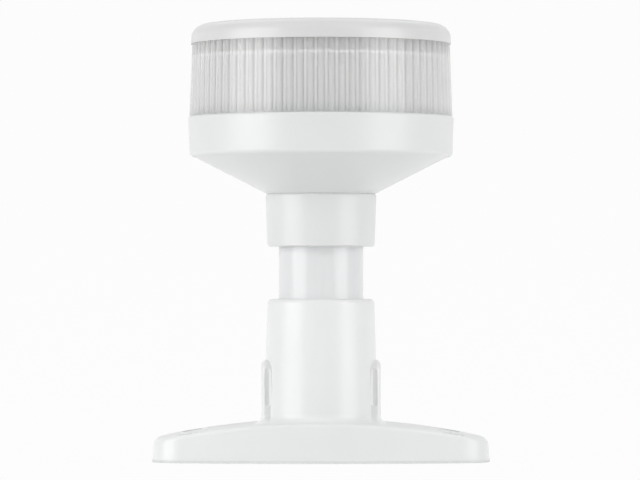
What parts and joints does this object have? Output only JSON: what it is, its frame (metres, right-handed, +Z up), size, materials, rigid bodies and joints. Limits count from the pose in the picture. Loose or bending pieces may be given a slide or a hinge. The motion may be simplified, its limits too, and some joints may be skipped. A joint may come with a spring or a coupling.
{
  "type": "navigation light",
  "caption": "All-round white boat light: fluted clear lens and white drum head on a short pole in a flanged deck base.",
  "frame": {"origin": "middle of the underside of the base gasket, on the pole's axis", "axes": "+X along the length of the base flange, -Y towards the front, +Z up the pole"},
  "size_m": [0.1002, 0.0796, 0.1318],
  "materials": {
    "white_moulding": "semi-gloss",
    "pole_coating": "semi-gloss white coating",
    "gasket_foam": "matt off-white",
    "seal_rubber": "matt",
    "lens_seal_rubber": "translucent grey silicone",
    "stainless": "satin",
    "spring_steel": "bright",
    "plate_paint": "matt white",
    "nickel": "nickel plate",
    "phenolic": "matt brown",
    "contact_brass": "satin",
    "cap_brass": "drawn brass",
    "cap_glass": "black vitreous",
    "solder": "dull solder",
    "bulb_glass": "clear",
    "lamp_wire": "drawn wire",
    "tungsten": "dark wire",
    "clear_lens": "clear polished plastic",
    "bright_aluminium": "bright rolled",
    "red_insulation": "satin",
    "black_insulation": "satin",
    "splice_sleeve": "satin"
  },
  "bodies": {
    "mast": {"base_gasket": "gasket_foam", "base_body": "white_moulding", "pole_set_screws": "stainless", "pole_seal": "seal_rubber", "pole_tube": "pole_coating", "tube_collar": "white_moulding", "collar_seal": "seal_rubber", "collar_screw": "stainless", "lamp_housing": "white_moulding", "holder_plate": "plate_paint", "holder_plate_screws": "stainless", "holder_sleeve": "nickel", "contact_carrier": "phenolic", "contact_tags": "contact_brass", "contact_springs": "spring_steel", "positive_lead": "red_insulation", "negative_lead": "black_insulation", "crimp_splices": "splice_sleeve"},
    "plungers": {"contact_plungers": "contact_brass"},
    "lamp": {"bulb_cap": "cap_brass", "bulb_insulator": "cap_glass", "bulb_contacts": "solder", "bulb_glass": "bulb_glass", "bulb_stem": "bulb_glass", "bulb_lead_wires": "lamp_wire", "bulb_filament": "tungsten"},
    "seal_ring": {"lens_seal": "lens_seal_rubber"},
    "lens_unit": {"lens": "clear_lens", "top_cap": "white_moulding", "heat_shield": "bright_aluminium"}
  },
  "joints": [
    {"name": "lens_turn", "type": "hinge", "parent": "seal_ring", "child": "lens_unit", "pos_m": [0, 0, 0.1029], "axis": [0, 0, 1], "range_deg": [0, 140]},
    {"name": "lens_rise", "type": "slide", "parent": "mast", "child": "seal_ring", "axis": [0, 0, 1], "range_m": [0, 0.0071]},
    {"name": "lamp_push", "type": "slide", "parent": "mast", "child": "lamp", "axis": [0, 0, 1], "range_m": [-0.002, 0]},
    {"name": "plunger_push", "type": "slide", "parent": "mast", "child": "plungers", "axis": [0, 0, 1], "range_m": [-0.002, 0], "deforming": ["contact_springs"]}
  ],
  "couplings": [
    {"joint": "lens_rise", "follows": "lens_turn", "m_per_rad": 0.0028648},
    {"joint": "plunger_push", "follows": "lamp_push", "ratio": 1}
  ]
}
